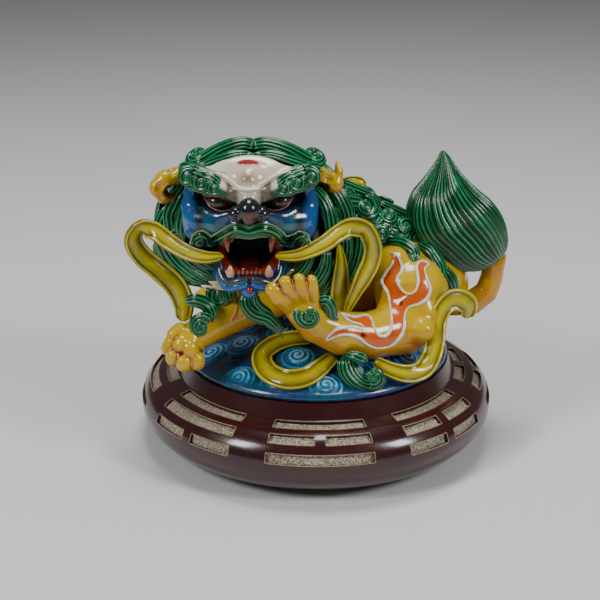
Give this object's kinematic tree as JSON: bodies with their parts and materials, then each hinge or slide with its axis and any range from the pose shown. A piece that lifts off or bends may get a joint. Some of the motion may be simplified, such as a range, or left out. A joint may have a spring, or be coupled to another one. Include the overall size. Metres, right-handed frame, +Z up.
{
  "type": "foo dog statue",
  "caption": "Reclining guardian lion with curly mane and flowing ribbons on a cloud mound that turns on a round base with trigram inlays.",
  "frame": {"origin": "centre of the felt pad's underside, on the turning axis", "axes": "+Z up along the turning axis; -Y towards the viewer at rest, where the trigram with one broken line between two whole ones lies; +X to the viewer's right, the tail's side"},
  "size_m": [0.175, 0.1644, 0.1415],
  "materials": {
    "base_closure": "dark red-brown satin",
    "base_glaze": "dark red-brown gloss",
    "bead_paint": "red gloss",
    "bushing_brass": "plain",
    "cloud_paint": "hand-painted blue, glossy",
    "coat_paint": "hand-painted yellow, glossy",
    "face_paint": "hand-painted deep blue, glossy",
    "felt": "dark wool felt",
    "flame_paint": "hand-painted orange, glossy",
    "forehead_paint": "hand-painted cream, glossy",
    "hair_paint": "hand-painted green, glossy",
    "line_inlay": "speckled gold under gloss",
    "lip_paint": "hand-painted green, glossy",
    "mouth_paint": "hand-painted red, glossy",
    "nose_paint": "near-black gloss",
    "ribbon_paint": "hand-painted olive gold, glossy",
    "steel": "zinc plated",
    "thrust_nylon": "natural nylon",
    "tooth_paint": "hand-painted cream, glossy"
  },
  "bodies": {
    "base": {"base_shell": "base_glaze", "base_plate": "base_closure", "felt_pad": "felt", "inner_line_inlays": "line_inlay", "middle_line_inlays": "line_inlay", "outer_line_inlays": "line_inlay", "deck_bushing": "bushing_brass", "thrust_ring": "thrust_nylon"},
    "figure": {"beard_curls": "hair_paint", "brow_left": "hair_paint", "brow_right": "hair_paint", "chin_pearl": "bead_paint", "cloud_mound": "cloud_paint", "crown_left": "hair_paint", "crown_right": "hair_paint", "ear_left": "coat_paint", "ear_right": "coat_paint", "eyeballs": "face_paint", "far_front_leg": "coat_paint", "far_front_paw": "coat_paint", "far_haunch": "coat_paint", "far_hind_leg": "coat_paint", "far_hind_paw": "coat_paint", "flame_marks": "flame_paint", "forehead": "forehead_paint", "front_leg": "coat_paint", "front_paw": "coat_paint", "goatee": "hair_paint", "haunch": "coat_paint", "hind_leg": "coat_paint", "hind_paw": "coat_paint", "hock_tuft": "hair_paint", "leg_curls": "hair_paint", "lower_jaw": "face_paint", "lower_teeth": "tooth_paint", "mane_back": "hair_paint", "mane_collar": "hair_paint", "mane_left": "hair_paint", "mane_right": "hair_paint", "mouth_lining": "mouth_paint", "nose": "nose_paint", "pivot_nut": "steel", "pivot_stud": "steel", "pivot_washer": "steel", "ribbon_back_end": "ribbon_paint", "ribbon_front_loop": "ribbon_paint", "ribbon_hip_scroll": "ribbon_paint", "ribbon_left_fall": "ribbon_paint", "ribbon_left_run": "ribbon_paint", "ribbon_right_fall": "ribbon_paint", "ribbon_right_run": "ribbon_paint", "rump_locks": "hair_paint", "skull": "face_paint", "tail_plume": "hair_paint", "tail_stalk": "coat_paint", "tongue": "mouth_paint", "torso": "coat_paint", "upper_fangs": "tooth_paint", "upper_lip": "lip_paint"}
  },
  "joints": [
    {"name": "turntable", "type": "hinge", "parent": "base", "child": "figure", "pos_m": [0, 0, 0.04], "axis": [0, 0, 1], "continuous": true}
  ]
}
